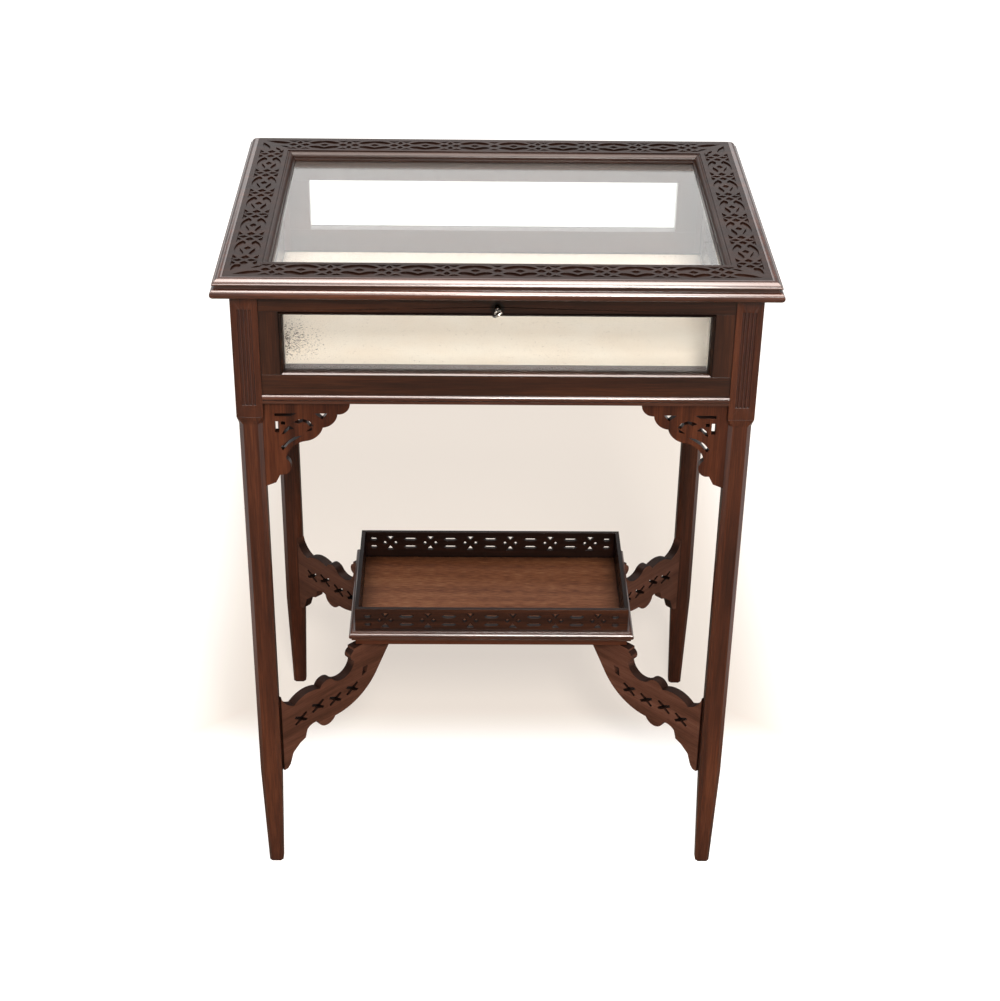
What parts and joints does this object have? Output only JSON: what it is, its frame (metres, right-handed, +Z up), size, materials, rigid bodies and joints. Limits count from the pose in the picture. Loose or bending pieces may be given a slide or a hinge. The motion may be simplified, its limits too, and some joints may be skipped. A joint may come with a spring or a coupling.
{
  "type": "collectors display table",
  "caption": "Glazed display case with a hinged glass lid on slim octagonal legs, with pierced brackets and stretchers carrying a small galleried tray.",
  "frame": {"origin": "on the floor, under the middle of the lid", "axes": "+Z up, -Y to the front where the key is, +X to the right seen from the front"},
  "size_m": [0.56, 0.4112, 0.745],
  "materials": {
    "mahogany": "polished dark mahogany",
    "tray_mahogany": "worn, lighter mahogany",
    "glass": "clear, polished",
    "lining": "cream cloth",
    "brass": "aged brass",
    "steel": "bright worn steel"
  },
  "bodies": {
    "case": {"base_beads": "mahogany", "bottom_board": "mahogany", "bottom_rail_back": "mahogany", "bottom_rail_front": "mahogany", "bottom_rail_left": "mahogany", "bottom_rail_right": "mahogany", "bracket_back_a": "mahogany", "bracket_back_b": "mahogany", "bracket_front_a": "mahogany", "bracket_front_b": "mahogany", "bracket_left_a": "mahogany", "bracket_left_b": "mahogany", "bracket_right_a": "mahogany", "bracket_right_b": "mahogany", "case_stiles": "mahogany", "gallery_back": "mahogany", "gallery_front": "mahogany", "gallery_left": "mahogany", "gallery_right": "mahogany", "glazing_bead_back": "mahogany", "glazing_bead_front": "mahogany", "glazing_bead_left": "mahogany", "glazing_bead_right": "mahogany", "hinge_case_leaves": "brass", "hinge_pins": "brass", "keyhole_escutcheon": "brass", "leg_back_left": "mahogany", "leg_back_right": "mahogany", "leg_front_left": "mahogany", "leg_front_right": "mahogany", "lining_pad": "lining", "lock_case": "brass", "pane_back": "glass", "pane_front": "glass", "pane_left": "glass", "pane_right": "glass", "stretcher_back_left": "mahogany", "stretcher_back_right": "mahogany", "stretcher_front_left": "mahogany", "stretcher_front_right": "mahogany", "top_rail_back": "mahogany", "top_rail_front": "mahogany", "top_rail_left": "mahogany", "top_rail_right": "mahogany", "tray_board": "tray_mahogany", "tray_moulding": "mahogany"},
    "lid": {"lid_edge_moulding": "mahogany", "lid_fret_border": "mahogany", "lid_inner_bead": "mahogany", "lid_pane": "glass", "lid_rail_back": "mahogany", "lid_rail_front": "mahogany", "lid_rail_left": "mahogany", "lid_rail_right": "mahogany", "hinge_lid_leaves": "brass", "lock_keeper": "brass"},
    "key": {"key": "steel"},
    "bolt": {"lock_bolt": "steel"}
  },
  "joints": [
    {"name": "lid_hinge", "type": "hinge", "parent": "case", "child": "lid", "pos_m": [0, 0.203, 0.72685], "axis": [-1, 0, 0], "range_deg": [0, 100]},
    {"name": "key_turn", "type": "hinge", "parent": "case", "child": "key", "pos_m": [0, -0.1845, 0.7127], "axis": [0, -1, 0], "range_deg": [0, 90]},
    {"name": "bolt_slide", "type": "slide", "parent": "case", "child": "bolt", "axis": [0, 0, 1], "range_m": [0, 0.0055]}
  ],
  "couplings": [
    {"joint": "key_turn", "follows": "bolt_slide", "rad_per_m": 285.57}
  ]
}
